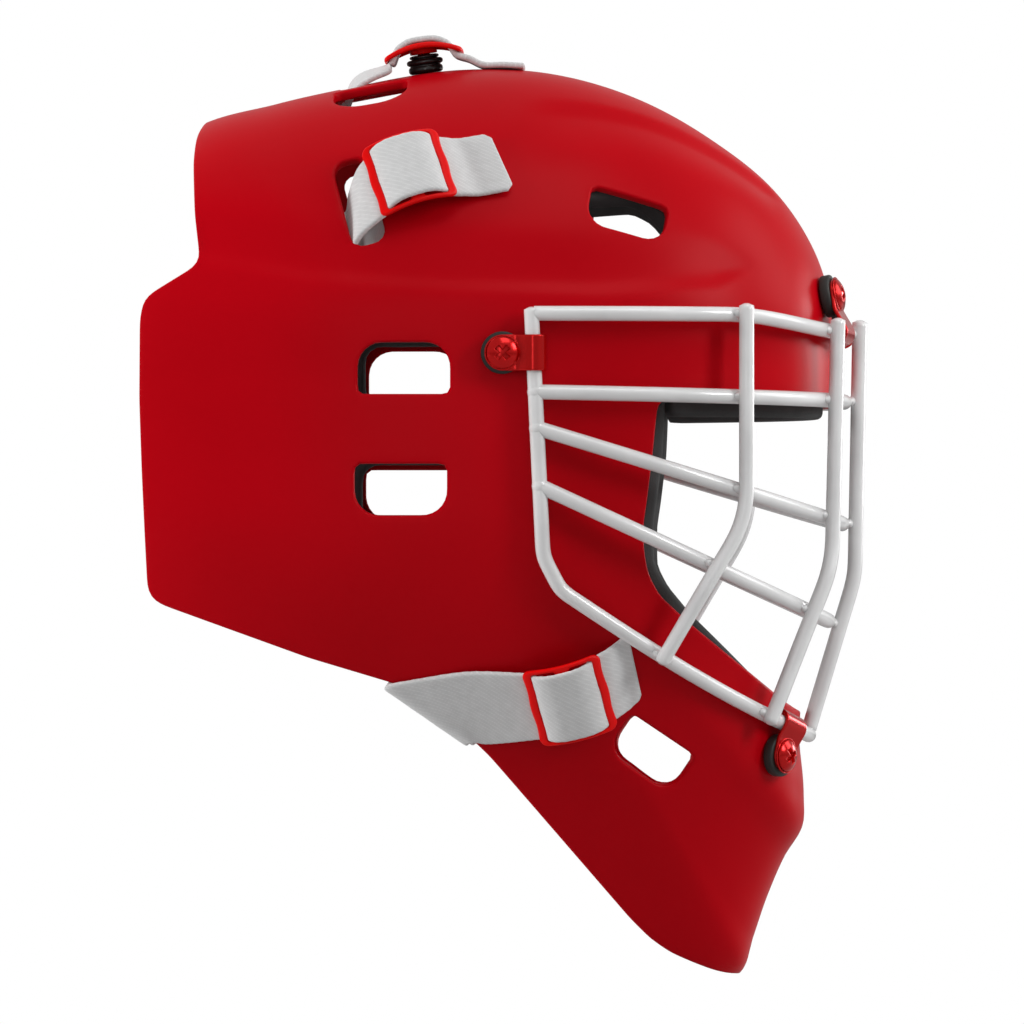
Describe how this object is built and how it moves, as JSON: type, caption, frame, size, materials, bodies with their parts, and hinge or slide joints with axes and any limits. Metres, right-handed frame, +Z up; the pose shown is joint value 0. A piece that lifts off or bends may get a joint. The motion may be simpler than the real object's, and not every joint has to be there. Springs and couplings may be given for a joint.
{
  "type": "hockey goalie mask",
  "caption": "Hockey goalie mask: moulded red shell with a round-wire cage held by clips, foam liner, rear plate and an elastic strap harness with buckles on snap studs.",
  "frame": {"origin": "centre of the head space, midway between the ears at the height of the brow", "axes": "+X the way the wearer faces, +Y to the wearer's left, +Z up"},
  "size_m": [0.2907, 0.2254, 0.379],
  "materials": {
    "shell_plastic": "satin",
    "liner_foam": "matte",
    "cage_wire": "gloss",
    "red_fittings": "gloss",
    "washer_rubber": "matte",
    "steel": "satin",
    "stud_plastic": "matte",
    "buckle_plastic": "satin",
    "elastic": "woven",
    "plate_plastic": "matte"
  },
  "bodies": {
    "mask": {"shell": "shell_plastic", "forehead_pad": "liner_foam", "crown_pad": "liner_foam", "temple_pad_left": "liner_foam", "temple_pad_right": "liner_foam", "ear_pad_left": "liner_foam", "ear_pad_right": "liner_foam", "cheek_pad_left": "liner_foam", "cheek_pad_right": "liner_foam", "chin_pad": "liner_foam", "cage_frame": "cage_wire", "cage_brow_bar": "cage_wire", "cage_middle_bar": "cage_wire", "cage_lower_bar": "cage_wire", "cage_side_bar_left": "cage_wire", "cage_side_bar_right": "cage_wire", "cage_inner_bar_left": "cage_wire", "cage_inner_bar_right": "cage_wire", "cage_centre_bar": "cage_wire", "side_clips": "red_fittings", "top_clips": "red_fittings", "chin_clips": "red_fittings", "clip_washers": "washer_rubber", "clip_screws": "red_fittings", "clip_nuts": "steel", "strap_studs": "stud_plastic", "stud_nuts": "steel", "top_strap": "elastic", "upper_strap_left": "elastic", "upper_strap_right": "elastic", "lower_strap_left": "elastic", "lower_strap_right": "elastic"},
    "rear_plate": {"back_plate": "plate_plastic", "back_plate_pad": "liner_foam", "strap_anchors": "elastic", "anchor_rivets": "steel"},
    "top_buckle_set": {"top_buckle": "buckle_plastic", "top_tail": "elastic"},
    "upper_left_buckle_set": {"upper_buckle_left": "buckle_plastic", "upper_tail_left": "elastic"},
    "upper_right_buckle_set": {"upper_buckle_right": "buckle_plastic", "upper_tail_right": "elastic"},
    "lower_left_buckle_set": {"lower_buckle_left": "buckle_plastic", "lower_tail_left": "elastic"},
    "lower_right_buckle_set": {"lower_buckle_right": "buckle_plastic", "lower_tail_right": "elastic"}
  },
  "joints": [
    {"name": "back_plate_slide", "type": "slide", "parent": "mask", "child": "rear_plate", "axis": [-1, 0, 0], "range_m": [0, 0.03], "stiffness_N_per_m": 800, "deforming": ["top_strap", "upper_strap_left", "upper_strap_right", "lower_strap_left", "lower_strap_right"]},
    {"name": "top_buckle_swivel", "type": "hinge", "parent": "mask", "child": "top_buckle_set", "pos_m": [-0.0145, 0, 0.1524], "axis": [-0.1409, 0, 0.99], "range_deg": [-8, 8], "stiffness_Nm_per_rad": 0.5, "deforming": ["top_strap"]},
    {"name": "upper_left_buckle_swivel", "type": "hinge", "parent": "mask", "child": "upper_left_buckle_set", "pos_m": [-0.0188, 0.0844, 0.106], "axis": [-0.0976, 0.8516, 0.5151], "range_deg": [-8, 8], "stiffness_Nm_per_rad": 0.5, "deforming": ["upper_strap_left"]},
    {"name": "upper_right_buckle_swivel", "type": "hinge", "parent": "mask", "child": "upper_right_buckle_set", "pos_m": [-0.0188, -0.0844, 0.106], "axis": [-0.0976, -0.8516, 0.5151], "range_deg": [-8, 8], "stiffness_Nm_per_rad": 0.5, "deforming": ["upper_strap_right"]},
    {"name": "lower_left_buckle_swivel", "type": "hinge", "parent": "mask", "child": "lower_left_buckle_set", "pos_m": [0.044, 0.08526, -0.097], "axis": [0.0565, 0.9147, -0.4001], "range_deg": [-8, 8], "stiffness_Nm_per_rad": 0.5, "deforming": ["lower_strap_left"]},
    {"name": "lower_right_buckle_swivel", "type": "hinge", "parent": "mask", "child": "lower_right_buckle_set", "pos_m": [0.044, -0.08526, -0.097], "axis": [0.0565, -0.9147, -0.4001], "range_deg": [-8, 8], "stiffness_Nm_per_rad": 0.5, "deforming": ["lower_strap_right"]}
  ]
}
